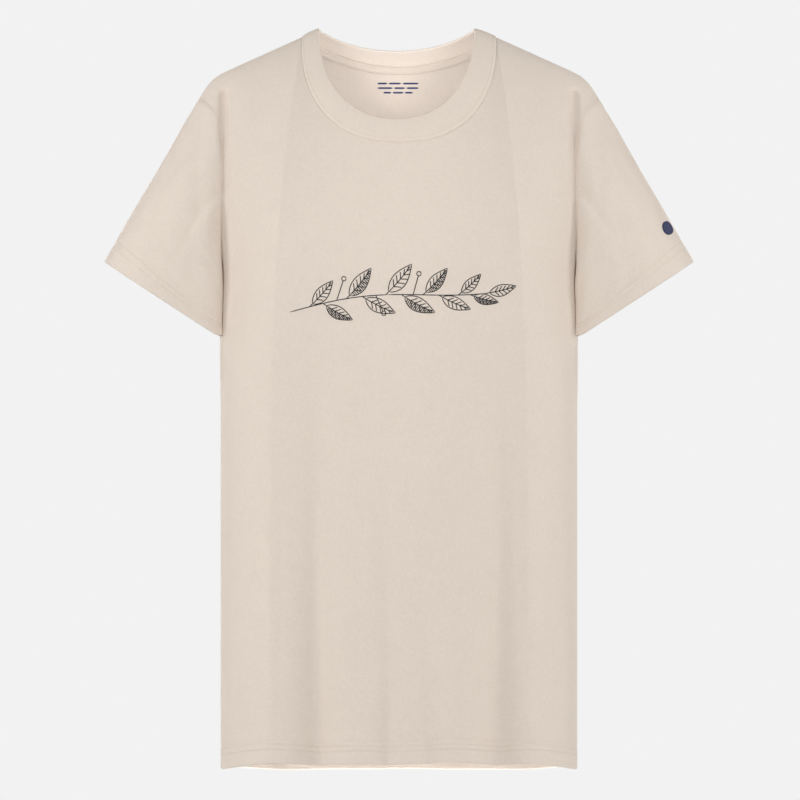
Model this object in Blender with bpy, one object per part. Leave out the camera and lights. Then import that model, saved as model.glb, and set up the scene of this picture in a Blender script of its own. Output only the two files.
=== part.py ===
"""A short-sleeved crew-neck T-shirt, filled as if someone unseen wore it.

The frame: +Z up, the front faces -Y, the wearer's left is +X. The origin is midway between the
two points where the neck seam crosses the shoulder line. Every piece is cut from thin cloth, and
its surface is a formula: a shoulder line, an oval trunk below it, and tubes for the sleeves.
"""
import bpy
import numpy as np

# Cloth and seams
CLOTH = 0.0012  # thickness of the knit, with its nap
RIB = 0.0022  # the neckband is two plies of rib
TAPE = 0.001  # the neck tape and the sleeve's patch
SEAM_GAP = 0.0004  # cut pieces stop this far from each other
PLY_GAP = 0.0004  # between a turned-up hem and the cloth it is sewn to

# Trunk
BODY_HALF_WIDTH = 0.1777
SIDE_Y = -0.008  # the side seams and the shoulder line lie in this plane
CHEST_DEPTH = 0.117  # from the side seams forward to the chest
BACK_DEPTH = 0.118  # from the side seams back to the shoulder blades
HEM_Z = -0.7295  # at the side seams
HEM_FRONT_RISE = 0.0155  # the hem is this much higher at the middle of the front
HEM_BACK_DROP = 0.0095  # and this much lower at the middle of the back
HEM_FOLD = 0.021
TRUNK_ROUNDNESS = 2.5  # 2 is an ellipse, more is squarer

# Shoulder line, as heights below its start at the neck
NECK_SIDE_X = 0.0975
SHOULDER_SLOPE = 0.45
SLEEVE_SLOPE = 1.72
SHOULDER_POINT_X = 0.188
SHOULDER_SOFTNESS = 0.004

# Armhole
ARMHOLE_X = 0.1765
ARMHOLE_TOP_X = 0.2013
UNDERARM_Z = -0.236

# Neck seam and the top edge of the neckband
NECK_HALF_WIDTH = 0.097
NECK_FRONT_DROP = 0.104
NECK_BACK_DROP = 0.026
BAND_HALF_WIDTH = 0.0775
BAND_SHIFT_X = -0.0025  # the top edge sits a little to the wearer's right
BAND_SIDE_Z = 0.0085
BAND_FRONT = (-0.083, -0.0805)  # y and z of the top edge at the middle of the front
BAND_BACK = (0.054, -0.0082)
TAPE_WIDTH = 0.007

# Sleeve, as the wearer's left one
CUFF_OUTER = (0.2933, -0.2230)  # x and z of the hem's two ends, seen from the front
CUFF_INNER = (0.1789, -0.2975)
CUFF_HALF_DEPTH = 0.052
CUFF_FOLD = 0.019
UNDERARM_ROOM = (0.0009, 0.0, -0.0008)  # the sleeve starts this far off the seam at its lowest
PATCH_AT = (0.52, 0.80)  # turn round the sleeve from its top, in radians, and way down it
PATCH_SIZE = (0.16, 0.034)  # half sizes in the same two measures

# Flutes of the front and back: x, half width, depth at the hem (in is positive), start height
FRONT_FLUTES = (
    (-0.092, 0.022, 0.0070, -0.33),
    (-0.021, 0.024, 0.0040, -0.42),
    (0.029, 0.024, 0.0030, -0.50),
    (0.113, 0.022, 0.0075, -0.31),
)
BACK_FLUTES = (
    (-0.110, 0.024, 0.0070, -0.34),
    (-0.030, 0.026, 0.0060, -0.38),
    (0.048, 0.024, 0.0070, -0.36),
    (0.122, 0.022, 0.0050, -0.42),
)

# Where the top row of a panel turns from the shoulder to the neck, as a share of half its width
NECK_SHARE = 0.5

# Faces across each piece: neighbours have the same number along the seam that they share
PANEL_COLUMNS = 40
NECK_FACES = PANEL_COLUMNS
SIDE_ROWS = 9
ARMHOLE_ROWS = 12
RING_FACES = 2 * ARMHOLE_ROWS
SLEEVE_ROWS = 7

SAND = (0.76, 0.67, 0.585, 1.0)
SAND_RIB = (0.74, 0.65, 0.565, 1.0)
NAVY = (0.020, 0.026, 0.075, 1.0)

MIRROR = np.array([-1.0, 1.0, 1.0])  # turns the wearer's left side into the right


def clear_scene():
    """Removes everything that a new file holds."""
    for thing in list(bpy.data.objects):
        bpy.data.objects.remove(thing, do_unlink=True)


def fabric(name, colour, roughness):
    """A matt material for cloth."""
    made = bpy.data.materials.new(name)
    made.use_nodes = True
    shader = made.node_tree.nodes["Principled BSDF"]
    shader.inputs["Base Color"].default_value = colour
    shader.inputs["Roughness"].default_value = roughness
    shader.inputs["Metallic"].default_value = 0.0
    return made


def strip_faces(first, second):
    """Quads between two equally long rows of vertex numbers."""
    return np.stack([first[:-1], first[1:], second[1:], second[:-1]], axis=-1)


def cloth_object(name, outer, outward, thickness, material, closed=False):
    """One closed body from a grid of points on the cloth's outer face.

    outer has the shape (across, along, 3) and outward holds the unit normals. The inner face is
    the outer one moved inwards by the thickness, and strips of faces close the cut edges. closed
    joins the last column to the first, so a ring has only two cut edges.
    """
    across, along = outer.shape[:2]
    number = np.arange(across * along).reshape(across, along)
    if closed:
        number = np.vstack([number, number[:1]])
    below = number + across * along
    face = np.stack([number[:-1, :-1], number[1:, :-1], number[1:, 1:], number[:-1, 1:]], axis=-1)
    back = (face + across * along)[..., ::-1]
    quads = [face.reshape(-1, 4), back.reshape(-1, 4)]
    quads.append(strip_faces(below[:, 0], number[:, 0]))
    quads.append(strip_faces(number[:, -1], below[:, -1]))
    if not closed:
        quads.append(strip_faces(number[0], below[0]))
        quads.append(strip_faces(below[-1], number[-1]))
    faces = np.concatenate(quads)
    span_u, span_v = outer[1, 1] - outer[0, 1], outer[0, 1] - outer[0, 0]
    if np.dot(np.cross(span_u, span_v), outward[0, 0]) < 0.0:
        faces = faces[:, ::-1]
    points = np.concatenate([outer, outer - outward * thickness]).reshape(-1, 3)
    mesh = bpy.data.meshes.new(name)
    mesh.from_pydata(points.tolist(), [], faces.tolist())
    mesh.materials.append(material)
    mesh.shade_smooth()
    mesh.set_sharp_from_angle(angle=np.radians(50.0))
    made = bpy.data.objects.new(name, mesh)
    bpy.context.scene.collection.objects.link(made)
    return made


def unit(vectors):
    """Vectors of length one."""
    return vectors / np.linalg.norm(vectors, axis=-1, keepdims=True)


def grid_normals(points, closed=False):
    """Unit normals of a grid of points, from the differences to its neighbours."""
    if closed:
        du = np.roll(points, -1, axis=0) - np.roll(points, 1, axis=0)
    else:
        du = np.gradient(points, axis=0)
    dv = np.gradient(points, axis=1)
    return unit(np.cross(du, dv))


def power(value, exponent):
    """A signed power, for the squared-off ovals."""
    return np.sign(value) * np.abs(value) ** exponent


def ridge(x):
    """Height of the shoulder line: a low arch over the neck, a slope, then the sleeve's fall."""
    far = np.abs(x)
    arch = 0.5 * SHOULDER_SLOPE * NECK_SIDE_X * (1.0 - (far / NECK_SIDE_X) ** 2)
    turn = np.logaddexp(0.0, (far - SHOULDER_POINT_X) / SHOULDER_SOFTNESS) * SHOULDER_SOFTNESS
    slope = -SHOULDER_SLOPE * (far - NECK_SIDE_X) - (SLEEVE_SLOPE - SHOULDER_SLOPE) * turn
    return np.where(far < NECK_SIDE_X, arch, slope)


def trunk_half_width(z):
    """Half width: a little less at the underarm, and widening above it as if no armhole cut it."""
    above = np.clip(z - UNDERARM_Z, 0.0, None)
    below = np.clip(UNDERARM_Z - z, 0.0, None)
    ease = (BODY_HALF_WIDTH - ARMHOLE_X) * (1.0 - np.exp(-((below / 0.05) ** 2)))
    return ARMHOLE_X + ease + 0.477 * above**1.25


def arch(x, z):
    """1 at the middle of the trunk and 0 at its sides, as a squared-off oval."""
    reach = np.clip(np.abs(x) / trunk_half_width(z), 0.0, 1.0)
    return (1.0 - reach**TRUNK_ROUNDNESS) ** (1.0 / TRUNK_ROUNDNESS)


def trunk_reach(ahead):
    """Half width of the trunk's oval at a distance in front of its side seams."""
    depth = (np.abs(ahead) / CHEST_DEPTH) ** TRUNK_ROUNDNESS
    return BODY_HALF_WIDTH * (1.0 - depth) ** (1.0 / TRUNK_ROUNDNESS)


def shoulder_rounding(x, z, height, squareness):
    """0 on the shoulder line and 1 at the given height below it."""
    left = 1.0 - np.clip((ridge(x) - z) / height, 0.0, 1.0)
    return (1.0 - left**squareness) ** (1.0 / squareness)


def flutes(x, z, table):
    """Depth of the hanging folds: bell shapes across, growing from their start to the hem."""
    total = np.zeros_like(x)
    for centre, half_width, depth, start in table:
        growth = np.clip((start - z) / (start - HEM_Z), 0.0, 1.0) ** 1.3
        total += depth * growth * np.exp(-(((x - centre) / half_width) ** 2))
    return total


def front_y(x, z):
    """Depth of the front panel's surface."""
    lower = 0.004 * np.clip((-0.30 - z) / 0.42, 0.0, 1.0)
    depth = (CHEST_DEPTH - lower) * arch(x, z) * shoulder_rounding(x, z, 0.25, 1.5)
    return SIDE_Y - depth + flutes(x, z, FRONT_FLUTES) * arch(x, z)


def back_y(x, z):
    """Depth of the back panel's surface, which comes in a little at the small of the back."""
    waist = 0.014 * np.exp(-(((z + 0.48) / 0.16) ** 2)) + 0.006 * np.clip(-z - 0.5, 0.0, 0.2) / 0.2
    depth = (BACK_DEPTH - waist) * arch(x, z) * shoulder_rounding(x, z, 0.20, 2.0)
    return SIDE_Y + depth - flutes(x, z, BACK_FLUTES) * arch(x, z)


def armhole_xz(rise):
    """The armhole seam from the front: rise is -1 at the underarm and 1 on the shoulder line."""
    top = float(ridge(ARMHOLE_TOP_X))
    middle = 0.5 * (top + UNDERARM_Z)
    x = ARMHOLE_X + (ARMHOLE_TOP_X - ARMHOLE_X) * np.clip(rise, 0.0, 1.0) ** 6
    return x, middle + (top - middle) * rise


def neck_seam(angle):
    """The neck seam: x and z of a squared-off oval that drops more at the front than the back."""
    side, ahead = np.sin(angle), np.cos(angle)
    x = NECK_HALF_WIDTH * power(side, 0.851)
    front = ridge(NECK_HALF_WIDTH) - NECK_FRONT_DROP * np.clip(ahead, 0.0, 1.0) ** 0.851
    behind = ridge(NECK_HALF_WIDTH) - NECK_BACK_DROP * (1.0 - (x / NECK_HALF_WIDTH) ** 2)
    z = np.where(ahead > 0.0, front, behind)
    y = np.where(ahead > 0.0, front_y(x, z), back_y(x, z))
    return np.stack([x, y, z], axis=-1)


def band_edge(angle):
    """The neckband's top edge: an oval in plan, low at the front and high at the sides."""
    side, ahead = np.sin(angle), np.cos(angle)
    x = BAND_SHIFT_X + BAND_HALF_WIDTH * power(side, 0.93)
    fore = np.clip(ahead, 0.0, 1.0)
    aft = np.clip(-ahead, 0.0, 1.0)
    y = SIDE_Y + (BAND_FRONT[0] - SIDE_Y) * fore**0.7 + (BAND_BACK[0] - SIDE_Y) * aft**0.93
    z = BAND_SIDE_Z + (BAND_FRONT[1] - BAND_SIDE_Z) * fore**0.93 + (BAND_BACK[1] - BAND_SIDE_Z) * aft**2
    return np.stack([x, y, z], axis=-1)


def armhole_normal(turn):
    """The direction out of the cloth along the armhole seam, shared by trunk and sleeve."""
    return unit(np.stack([0.5 + 0.0 * turn, -np.sin(turn), 0.6 * np.cos(turn)], axis=-1))


def trunk_normal(x, z, front):
    """The trunk's outward direction, from how its depth changes just below and beside a point."""
    depth, facing = (front_y, -1.0) if front else (back_y, 1.0)
    step = 0.0003
    low = z - step
    rise = (depth(x, z) - depth(x, low)) / step
    run = (depth(x + step, low) - depth(x - step, low)) / (2.0 * step)
    return unit(np.stack([-facing * run, facing + 0.0 * x, -facing * rise], axis=-1))


def neck_normal(angle):
    """The direction out of the cloth along the neck seam: halfway between trunk and band."""
    seam = neck_seam(angle)
    step = 0.002
    along = neck_seam(angle + step) - neck_seam(angle - step)
    band = unit(np.cross(along, band_edge(angle) - seam))
    ahead = np.cos(angle)
    front = trunk_normal(seam[:, 0], seam[:, 2], True)
    behind = trunk_normal(seam[:, 0], seam[:, 2], False)
    trunk = np.where((ahead > 0.0)[:, None], front, behind)
    halfway = unit(trunk + band)
    halfway[np.abs(ahead) < 0.001, 1] = 0.0
    return unit(halfway)


def ridge_normal(x):
    """Upwards from the shoulder line, square to it."""
    step = 0.0005
    rise = (ridge(x + step) - ridge(x - step)) / (2.0 * step)
    return unit(np.stack([-rise, 0.0 * rise, 1.0 + 0.0 * rise], axis=-1))


def panel_grid(front):
    """The front or back panel as a grid: columns from side to side, rows from the hem up.

    The edge column runs up the side seam and then round the armhole. The top row follows the
    shoulder line in to the neck, and the neck seam between. The surface's depth comes from the
    trunk's formula, so the grid lines only say where it is sampled. Along its seams the panel
    takes the seam's own direction out of the cloth, so that both neighbours are cut alike.
    """
    side_z = np.linspace(HEM_Z + HEM_FOLD, UNDERARM_Z, SIDE_ROWS)
    swing = np.linspace(0.0, np.pi, ARMHOLE_ROWS + 1)[1:]
    hole_x, hole_z = armhole_xz(-np.cos(swing))
    edge_z = np.concatenate([[HEM_Z], side_z, hole_z])
    edge_x = np.concatenate([trunk_half_width(edge_z[: SIDE_ROWS + 1]), hole_x])
    up = (edge_z - HEM_Z) / (edge_z[-1] - HEM_Z)

    across = np.linspace(-1.0, 1.0, PANEL_COLUMNS + 1)
    inner = np.abs(across) <= NECK_SHARE
    turn = np.clip(across / NECK_SHARE, -1.0, 1.0) * 0.5 * np.pi
    angle = turn if front else np.pi - turn
    seam = neck_seam(angle)
    out = np.clip((np.abs(across) - NECK_SHARE) / (1.0 - NECK_SHARE), 0.0, 1.0)
    shoulder_x = np.sign(across) * (NECK_HALF_WIDTH + (ARMHOLE_TOP_X - NECK_HALF_WIDTH) * out)
    top_x = np.where(inner, seam[:, 0], shoulder_x)
    top_z = np.where(inner, seam[:, 2], ridge(shoulder_x))

    share = up[None, :]
    foot_x = BODY_HALF_WIDTH * np.sin(across * 0.5 * np.pi)
    x = foot_x[:, None] + (top_x - foot_x)[:, None] * share**4
    pull = edge_x[None, :] - x[-1:]
    x = x + power(across, 4.0)[:, None] * pull
    middle = 1.0 - (np.abs(foot_x) / BODY_HALF_WIDTH) ** 3
    foot_z = HEM_Z + middle * (HEM_FRONT_RISE if front else -HEM_BACK_DROP)
    z = foot_z[:, None] + (top_z - foot_z)[:, None] * share
    facing = -1.0 if front else 1.0
    y = (front_y(x, z) if front else back_y(x, z)) + 0.5 * SEAM_GAP * facing
    points = np.stack([x, y, z], axis=-1)

    outward = trunk_normal(x, z, front)
    outward[0, : SIDE_ROWS + 1] = (-1.0, 0.0, 0.0)
    outward[-1, : SIDE_ROWS + 1] = (1.0, 0.0, 0.0)
    round_hole = armhole_normal((np.pi - swing) * -facing)
    outward[-1, SIDE_ROWS + 1 :] = round_hole
    outward[0, SIDE_ROWS + 1 :] = round_hole * MIRROR
    outward[~inner, -1] = ridge_normal(shoulder_x)[~inner]
    outward[inner, -1] = neck_normal(angle)[inner]
    return points, outward


def sleeve_point(turn, down):
    """A point on the wearer's left sleeve, from the armhole (down 0) to the hem (down 1).

    turn goes round from the top (0) over the front (a quarter) to the underarm (a half). Each
    line down the sleeve is a cubic from seam to hem. At the top and the underarm it is nearly
    straight. At the front and the back it swells, and then it hangs steeper at the hem.
    """
    rise, ahead = np.cos(turn), np.sin(turn)
    seam_x, seam_z = armhole_xz(rise)
    seam_y = np.where(ahead > 0.0, front_y(seam_x, seam_z), back_y(seam_x, seam_z))
    start = np.stack([seam_x, seam_y, seam_z], axis=-1)

    outer, inner = np.array(CUFF_OUTER), np.array(CUFF_INNER)
    middle, half = 0.5 * (outer + inner), 0.5 * (outer - inner)
    along = np.where(rise > 0.0, power(rise, 0.9), power(rise, 0.55))
    sideways = np.where(rise > 0.0, power(ahead, 0.9), power(ahead, 0.55))
    near = np.clip(-rise / 0.5, 0.0, 1.0) ** 2
    hug = near * (BODY_HALF_WIDTH - trunk_reach(CUFF_HALF_DEPTH * sideways))
    along = along - hug / half[0]
    cuff_y = SIDE_Y - CUFF_HALF_DEPTH * sideways
    cuff = np.stack([middle[0] + half[0] * along, cuff_y, middle[1] + half[1] * along], axis=-1)

    under = np.clip(-rise, 0.0, 1.0) ** 2
    start = start + unit(cuff - start) * SEAM_GAP + under[..., None] * np.array(UNDERARM_ROOM)
    chord = cuff - start
    reach = np.linalg.norm(chord, axis=-1, keepdims=True)
    side = (ahead**2)[..., None] * reach
    swell = np.stack([0.30 + 0.0 * ahead, -0.24 * ahead, 0.30 + 0.0 * ahead], axis=-1)
    leave = chord + swell * side + np.array([0.10, 0.0, 0.0]) * under[..., None] * reach
    arrive = chord + np.array([-0.14, 0.0, -0.06]) * side

    t = np.asarray(down)[..., None]
    cubic = (2.0 * t**3 - 3.0 * t**2 + 1.0) * start + (t**3 - 2.0 * t**2 + t) * leave
    return cubic + (3.0 * t**2 - 2.0 * t**3) * cuff + (t**3 - t**2) * arrive


def sleeve_grid(downs):
    """The left sleeve's points and normals at the given ways down, round the whole sleeve."""
    turns = np.linspace(0.0, 2.0 * np.pi, RING_FACES + 1)[:-1]
    turn, down = np.meshgrid(turns, downs, indexing="ij")
    points = sleeve_point(turn, down)
    outward = grid_normals(points, closed=True)
    outward[:, 0] = armhole_normal(turns)
    return points, outward


def make_trunk(cloth):
    """Front and back panels, each with its hem's turned-up ply inside."""
    for name, front in (("front", True), ("back", False)):
        points, outward = panel_grid(front)
        cloth_object(f"{name}_panel", points, outward, CLOTH, cloth)
        outward = outward[:, :2]
        fold = points[:, :2] - outward * (CLOTH + PLY_GAP)
        cloth_object(f"{name}_hem_fold", fold, outward, CLOTH, cloth)


def make_sleeves(cloth):
    """Both sleeves, each with its hem's turned-up ply inside."""
    length = np.linalg.norm(np.array(CUFF_OUTER) - np.array(armhole_xz(1.0)))
    fold_from = 1.0 - CUFF_FOLD / length
    downs = np.append(np.linspace(0.0, fold_from**0.5, SLEEVE_ROWS) ** 2, 1.0)
    points, outward = sleeve_grid(downs)
    fold = points[:, -2:] - outward[:, -2:] * (CLOTH + PLY_GAP)
    for name, side in (("left", 1.0), ("right", MIRROR)):
        cloth_object(f"{name}_sleeve", points * side, outward * side, CLOTH, cloth, closed=True)
        turned = f"{name}_sleeve_hem_fold"
        cloth_object(turned, fold * side, outward[:, -2:] * side, CLOTH, cloth, closed=True)


def band_grid(angles, ways):
    """Points of the neckband between its seam (way 0) and its top edge (way 1)."""
    seam, edge = neck_seam(angles), band_edge(angles)
    way = np.asarray(ways)[None, :, None]
    return seam[:, None, :] * (1.0 - way) + edge[:, None, :] * way


def make_neck(rib, tape):
    """The ring of the neckband, and the tape sewn over the seam inside the back of the neck."""
    width = BAND_BACK[1] + NECK_BACK_DROP
    angles = np.linspace(0.0, 2.0 * np.pi, NECK_FACES + 1)[:-1]
    band = band_grid(angles, (0.0, 0.3, 0.65, 1.0))
    outward = grid_normals(band, closed=True)
    outward[:, 0] = neck_normal(angles)
    along = np.roll(band[:, 0], -1, axis=0) - np.roll(band[:, 0], 1, axis=0)
    band[:, 0] += unit(np.cross(outward[:, 0], along)) * SEAM_GAP
    cloth_object("neckband", band, outward, RIB, rib, closed=True)
    behind = (angles > 0.52 * np.pi) & (angles < 1.48 * np.pi)
    half = 0.5 * TAPE_WIDTH / width
    strip = band_grid(angles[behind], (-half, half))
    outward = grid_normals(strip)
    cloth_object("neck_tape", strip - outward * (RIB + PLY_GAP), outward, TAPE, tape)


def make_patch(stitched):
    """A small oval patch sewn to the left sleeve: a square grid bent into an oval on its curve."""
    side = np.linspace(-1.0, 1.0, 9)
    s, t = np.meshgrid(side, side, indexing="ij")
    turn = PATCH_AT[0] + PATCH_SIZE[0] * s * np.sqrt(1.0 - 0.5 * t**2)
    down = PATCH_AT[1] + PATCH_SIZE[1] * t * np.sqrt(1.0 - 0.5 * s**2)
    points = sleeve_point(turn, down)
    outward = grid_normals(points)
    cloth_object("sleeve_patch", points + outward * (TAPE + PLY_GAP), outward, TAPE, stitched)


clear_scene()
make_trunk(fabric("sand jersey", SAND, 0.9))
make_sleeves(fabric("sand jersey sleeve", SAND, 0.9))
make_neck(fabric("sand rib", SAND_RIB, 0.88), fabric("sand tape", SAND_RIB, 0.85))
make_patch(fabric("navy patch", NAVY, 0.7))
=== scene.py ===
"""The looks of a short-sleeved crew-neck T-shirt in sand jersey, filled as if someone wore it.

Every piece of cloth is a surface of two parameters, worked out on a numpy grid: an oval trunk under
a shoulder line, two sleeve tubes between armhole and hem, and a folded rib round the neck. Folds,
seam valleys and stitch dents are added to those formulas as bell shapes. The wearer's left is +X,
the front faces -Y, and the origin is midway between the two ends of the neck seam's shoulder line.
"""
import bpy
import numpy as np
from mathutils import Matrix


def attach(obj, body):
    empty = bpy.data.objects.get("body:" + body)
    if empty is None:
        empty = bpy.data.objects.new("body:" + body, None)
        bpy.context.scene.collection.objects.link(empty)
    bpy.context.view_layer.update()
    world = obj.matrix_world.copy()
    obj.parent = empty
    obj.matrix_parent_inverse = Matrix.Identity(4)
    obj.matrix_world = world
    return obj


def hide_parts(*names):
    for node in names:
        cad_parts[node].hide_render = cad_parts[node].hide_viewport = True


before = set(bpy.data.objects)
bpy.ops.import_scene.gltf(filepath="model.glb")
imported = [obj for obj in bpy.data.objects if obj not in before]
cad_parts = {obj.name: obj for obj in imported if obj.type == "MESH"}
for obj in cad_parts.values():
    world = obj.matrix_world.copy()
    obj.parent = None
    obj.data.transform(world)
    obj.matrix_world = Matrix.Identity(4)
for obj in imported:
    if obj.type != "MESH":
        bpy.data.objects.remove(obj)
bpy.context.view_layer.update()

# Cloth
JERSEY = 0.0011
HEM_PLY = 0.0026  # the panel and its turned-up hem together
RIB_PLY = 0.0027  # two plies of rib, folded

# Trunk, as in the solids
BODY_HALF_WIDTH = 0.1777
SIDE_Y = -0.008
CHEST_DEPTH = 0.117
BACK_DEPTH = 0.118
HEM_Z = -0.7278
HEM_FRONT_RISE = 0.0128
HEM_BACK_DROP = 0.0108
HEM_FOLD = 0.021
TRUNK_ROUNDNESS = 2.5

# Shoulder line
NECK_SIDE_X = 0.0975
SHOULDER_SLOPE = 0.45
SLEEVE_SLOPE = 1.72
SHOULDER_POINT_X = 0.188
SHOULDER_SOFTNESS = 0.004

# Armhole
ARMHOLE_X = 0.1765
ARMHOLE_HOLLOW = 0.0028
ARMHOLE_TOP_X = 0.2013
UNDERARM_Z = -0.236

# The trunk's corner beside the lower armhole: depth at its start, slope, start, sharpness
SHELF = (0.0600, 0.55)
SHELF_X = 0.160
SHELF_SHARPNESS = 90.0

# Neck
NECK_HALF_WIDTH = 0.097
NECK_FRONT_DROP = 0.110
NECK_BACK_DROP = 0.026
BAND_HALF_WIDTH = 0.0775
BAND_SHIFT_X = -0.0025
BAND_SIDE_Z = 0.0085
BAND_FRONT = (-0.084, -0.0866)
BAND_BACK = (0.054, -0.0082)

# Sleeve
CUFF_OUTER = (0.2933, -0.2230)
CUFF_INNER = (0.1789, -0.2975)
CUFF_HALF_DEPTH = 0.060
CUFF_FOLD = 0.019
UNDERARM_ROOM = (0.0009, 0.0, -0.0008)
CUFF_LOWER = (0.0, 0.20, 0.40, 0.52, 0.58, 0.63, 0.67, 1.0)
CUFF_LOWER_X = (0.2361, 0.2170, 0.1970, 0.1850, 0.1795, 0.1755, 0.1730, 0.1720)
CUFF_LOWER_OFF = (0.0600, 0.0600, 0.0595, 0.0578, 0.0552, 0.0520, 0.0492, 0.0)
PRESS = (-0.022, -0.034, 0.55, 0.34)
HUG_ROOM = 0.0002
PATCH_AT = (0.49, 0.775)
PATCH_SIZE = (0.34, 0.075)

# Hanging folds: x at the start, x at the hem, half widths to its right and left seen from
# the front, depth at the hem, start height
FRONT_FOLDS = (
    (-0.083, -0.080, 0.028, 0.030, 0.0290, -0.19),
    (-0.012, -0.015, 0.020, 0.020, 0.0160, -0.34),
    (0.022, 0.028, 0.019, 0.021, 0.0140, -0.44),
    (0.096, 0.097, 0.036, 0.023, 0.0300, -0.19),
    (-0.160, -0.158, 0.016, 0.018, 0.0100, -0.32),
    (0.148, 0.153, 0.018, 0.016, 0.0100, -0.36),
)
BACK_FOLDS = (
    (-0.112, -0.108, 0.024, 0.022, 0.0085, -0.30),
    (-0.034, -0.028, 0.026, 0.024, 0.0070, -0.36),
    (0.046, 0.050, 0.022, 0.026, 0.0080, -0.34),
    (0.122, 0.118, 0.022, 0.022, 0.0065, -0.40),
)

# The crease where each sleeve presses on the body
GROOVE_DEPTH = 0.0062
GROOVE_HALF_WIDTH = 0.0042
GROOVE_TOP_Z = -0.0525

# Grids
COLUMNS = 176
NECK_SHARE = 0.5
RING = 176
SLEEVE_ROWS = 92
MIRROR = np.array([-1.0, 1.0, 1.0])


def unit(vectors):
    """Vectors of length one."""
    return vectors / np.linalg.norm(vectors, axis=-1, keepdims=True)


def power(value, exponent):
    """A signed power, for squared-off ovals."""
    return np.sign(value) * np.abs(value) ** exponent


def least(first, second, soft=0.03):
    """The smaller of two values, with the corner between them rounded."""
    return -soft * np.logaddexp(-first / soft, -second / soft)


def smooth(value):
    """0 below 0, 1 above 1, and a smooth S between."""
    t = np.clip(value, 0.0, 1.0)
    return t * t * (3.0 - 2.0 * t)


def bell(distance, half_width):
    """A bell shape: 1 at no distance, 1/e at the half width."""
    return np.exp(-((distance / half_width) ** 2))


def ripples(u, v, seed, wave_u, wave_v, count=7):
    """Soft irregularity: the mean of a few sine waves of nearby lengths and seeded phases."""
    rng = np.random.default_rng(seed)
    total = np.zeros(np.broadcast(u, v).shape)
    for _ in range(count):
        lean_u, lean_v = rng.uniform(0.6, 1.5, 2) * rng.choice([-1.0, 1.0], 2)
        phase = rng.uniform(0.0, 2.0 * np.pi)
        total = total + np.sin(2.0 * np.pi * (lean_u * u / wave_u + lean_v * v / wave_v) + phase)
    return total / count


def ridge(x):
    """Height of the shoulder line: a low arch over the neck, a slope, then the sleeve's fall."""
    far = np.abs(x)
    arch = 0.5 * SHOULDER_SLOPE * NECK_SIDE_X * (1.0 - (far / NECK_SIDE_X) ** 2)
    turn = np.logaddexp(0.0, (far - SHOULDER_POINT_X) / SHOULDER_SOFTNESS) * SHOULDER_SOFTNESS
    slope = -SHOULDER_SLOPE * (far - NECK_SIDE_X) - (SLEEVE_SLOPE - SHOULDER_SLOPE) * turn
    return np.where(far < NECK_SIDE_X, arch, slope)


def trunk_half_width(z):
    """Half width: a little less at the underarm, and widening above it as if no armhole cut it."""
    above = np.clip(z - UNDERARM_Z, 0.0, None)
    below = np.clip(UNDERARM_Z - z, 0.0, None)
    ease = (BODY_HALF_WIDTH - ARMHOLE_X) * (1.0 - np.exp(-((below / 0.05) ** 2)))
    return ARMHOLE_X + ease + 0.477 * above**1.25


def arch(x, z):
    """1 at the middle of the trunk and 0 at its sides, as a squared-off oval."""
    reach = np.clip(np.abs(x) / trunk_half_width(z), 0.0, 1.0)
    return (1.0 - reach**TRUNK_ROUNDNESS) ** (1.0 / TRUNK_ROUNDNESS)


def rounded(value, places, heights):
    """A line through given points, with its corners rounded by a running mean."""
    total = 0.0
    for shift in (-0.02, -0.01, 0.0, 0.01, 0.02):
        total = total + np.interp(value + shift, places, heights)
    return total / 5.0


def shelf(x, z):
    """Depth of the corner beside the lower armhole, where the sleeve rests level with the chest.

    It slopes gently out to the corner and drops there. Above the armhole's lower half and below
    the sleeve it fades away, and the trunk's oval takes over.
    """
    far = np.abs(x)
    reach = np.clip(far / trunk_half_width(z), 0.0, 1.0)
    level = SHELF[0] - SHELF[1] * np.clip(far - SHELF_X, 0.0, None)
    fade = smooth((-0.13 - z) / 0.035) * smooth((z + 0.42) / 0.12)
    return level * (1.0 - reach**SHELF_SHARPNESS) ** 0.25 * fade


def shoulder_rounding(x, z, height, squareness):
    """0 on the shoulder line and 1 at the given height below it."""
    left = 1.0 - np.clip((ridge(x) - z) / height, 0.0, 1.0)
    return (1.0 - left**squareness) ** (1.0 / squareness)


def valley(away, wide):
    """A valley with a rounded bottom and soft shoulders, narrower at its foot than a bell."""
    far = np.sqrt(away**2 + 0.0025**2) - 0.0025
    return np.exp(-((far / wide) ** 1.35))


def hanging_folds(x, z, table):
    """Depth of the hanging folds: lopsided valleys, growing from their start to the hem."""
    total = np.zeros(np.broadcast(x, z).shape)
    for start_x, hem_x, right, left, depth, start in table:
        down = np.clip((start - z) / (start - HEM_Z), 0.0, 1.0)
        away = x - (start_x + (hem_x - start_x) * down)
        wide = np.where(away < 0.0, right, left) * (1.15 - 0.15 * down)
        total = total + depth * down**1.05 * valley(away, wide)
    return total


def groove(x, z):
    """The crease along the armhole: a narrow bell across that starts abruptly near the shoulder."""
    centre = ARMHOLE_X - ARMHOLE_HOLLOW
    across = np.exp(-np.abs((np.abs(x) - centre) / GROOVE_HALF_WIDTH) ** 2.4)
    start = smooth((GROOVE_TOP_Z - z) / 0.005)
    end = smooth((z + 0.302) / 0.008)
    shallow = 1.0 - 0.8 * smooth((-0.08 - z) / 0.06)
    return GROOVE_DEPTH * shallow * across * start * end


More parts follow.
